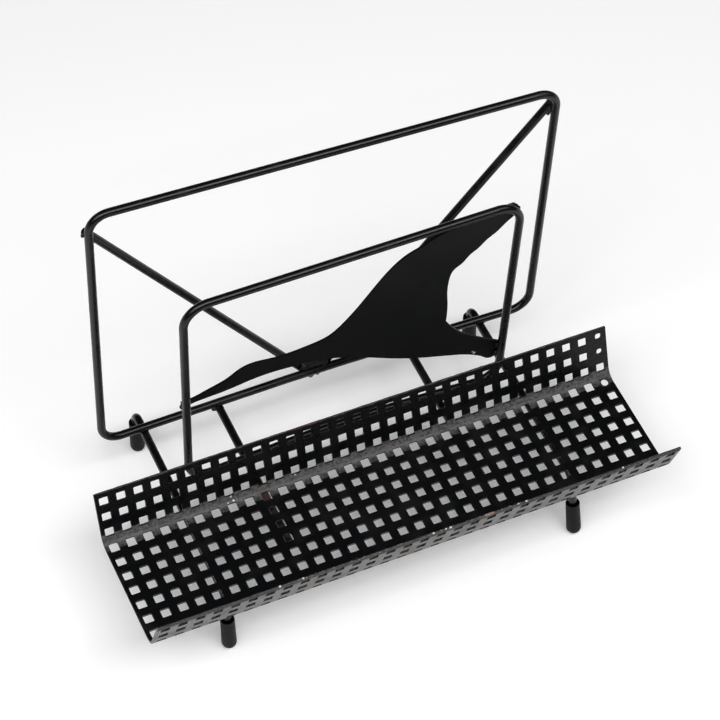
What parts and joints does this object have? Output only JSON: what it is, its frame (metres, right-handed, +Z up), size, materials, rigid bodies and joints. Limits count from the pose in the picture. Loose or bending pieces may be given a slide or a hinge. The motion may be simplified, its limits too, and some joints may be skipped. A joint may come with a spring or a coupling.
{
  "type": "desktop letter rack with pen tray",
  "caption": "Black wire letter rack with a bird silhouette on its front loop and a bent, square-perforated steel pen tray, standing on rubber-tipped wire legs.",
  "frame": {"origin": "on the surface that the rack stands on, under the middle of its bounding box", "axes": "+X to the right along the tray, as seen from its front; +Y to the back, from the tray to the letter loops; +Z up"},
  "size_m": [0.248, 0.1374, 0.1746],
  "materials": {
    "black_paint": "semi-gloss black paint, worn and chipped at edges and joints",
    "tip_rubber": "matt, slightly soft black rubber"
  },
  "bodies": {
    "root": {"back_loop": "black_paint", "bird_plate": "black_paint", "brace_left": "black_paint", "brace_right": "black_paint", "foot_tip_front_left": "tip_rubber", "foot_tip_front_right": "tip_rubber", "foot_tip_rear_left": "tip_rubber", "foot_tip_rear_right": "tip_rubber", "front_loop": "black_paint", "rail_left": "black_paint", "rail_right": "black_paint", "runner_left": "black_paint", "runner_right": "black_paint", "tray": "black_paint"}
  },
  "joints": []
}
